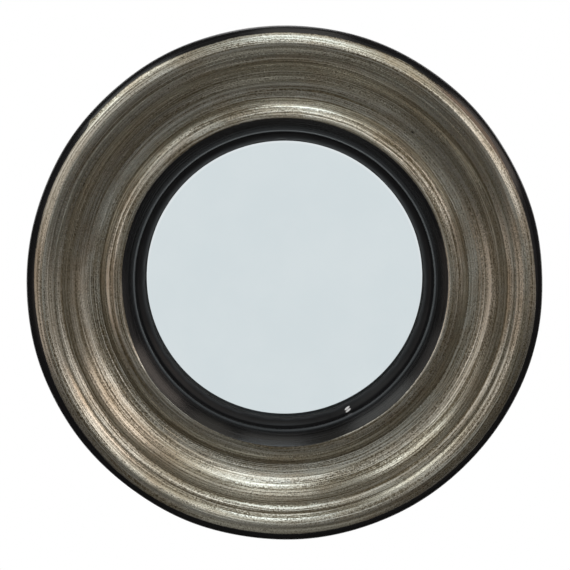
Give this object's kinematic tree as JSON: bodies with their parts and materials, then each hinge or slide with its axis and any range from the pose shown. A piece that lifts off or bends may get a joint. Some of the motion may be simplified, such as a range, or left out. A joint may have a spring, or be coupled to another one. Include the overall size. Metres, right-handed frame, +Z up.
{
  "type": "convex wall mirror",
  "caption": "Round convex wall mirror in a deep turned frame: silver-leaf cove and roll, black edge and black inner roll, removable back and a swinging hanging ring.",
  "frame": {"origin": "point of the wall behind the centre of the mirror, in the plane that the bumpers rest on", "axes": "+Z up as it hangs, +Y into the wall, so the mirror looks along -Y; +X to the viewer's right"},
  "size_m": [0.4, 0.0661, 0.4],
  "materials": {
    "silver_leaf": "turned wood with aged silver leaf, rubbed and toned, its edge and inner roll painted black",
    "black_slip": "satin black paint",
    "mirror": "convex silvered glass",
    "felt": "black felt",
    "cork": "agglomerated cork",
    "black_back": "matt black paint on fibreboard",
    "board": "smooth brown hardboard",
    "zinc_screws": "zinc plated",
    "button_steel": "zinc plated",
    "hanger_steel": "nickel plated",
    "bumper_rubber": "matt rubber"
  },
  "bodies": {
    "frame": {"front_moulding": "silver_leaf", "sight_slip": "black_slip", "mirror_glass": "mirror", "glass_gasket": "felt", "packing_ring": "cork", "back_ring": "black_back", "back_ring_screws": "zinc_screws", "backing_board": "board", "turn_button_screws": "zinc_screws", "hanger_strap": "hanger_steel", "hanger_screws": "zinc_screws", "wall_bumpers": "bumper_rubber"},
    "hanger_ring": {"hanger_ring": "hanger_steel"},
    "turn_button_1": {"turn_button_1": "button_steel"},
    "turn_button_2": {"turn_button_2": "button_steel"},
    "turn_button_3": {"turn_button_3": "button_steel"},
    "turn_button_4": {"turn_button_4": "button_steel"},
    "turn_button_5": {"turn_button_5": "button_steel"},
    "turn_button_6": {"turn_button_6": "button_steel"}
  },
  "joints": [
    {"name": "hanger_ring_swing", "type": "hinge", "parent": "frame", "child": "hanger_ring", "pos_m": [0, -0.0032, 0.178], "axis": [1, 0, 0], "range_deg": [-173, 5]},
    {"name": "turn_button_1_pivot", "type": "hinge", "parent": "frame", "child": "turn_button_1", "pos_m": [0.157, -0.0051, 0], "axis": [0, 1, 0], "continuous": true},
    {"name": "turn_button_2_pivot", "type": "hinge", "parent": "frame", "child": "turn_button_2", "pos_m": [0.0785, -0.0051, 0.13597], "axis": [0, 1, 0], "continuous": true},
    {"name": "turn_button_3_pivot", "type": "hinge", "parent": "frame", "child": "turn_button_3", "pos_m": [-0.0785, -0.0051, 0.13597], "axis": [0, 1, 0], "continuous": true},
    {"name": "turn_button_4_pivot", "type": "hinge", "parent": "frame", "child": "turn_button_4", "pos_m": [-0.157, -0.0051, 0], "axis": [0, 1, 0], "continuous": true},
    {"name": "turn_button_5_pivot", "type": "hinge", "parent": "frame", "child": "turn_button_5", "pos_m": [-0.0785, -0.0051, -0.13597], "axis": [0, 1, 0], "continuous": true},
    {"name": "turn_button_6_pivot", "type": "hinge", "parent": "frame", "child": "turn_button_6", "pos_m": [0.0785, -0.0051, -0.13597], "axis": [0, 1, 0], "continuous": true}
  ]
}
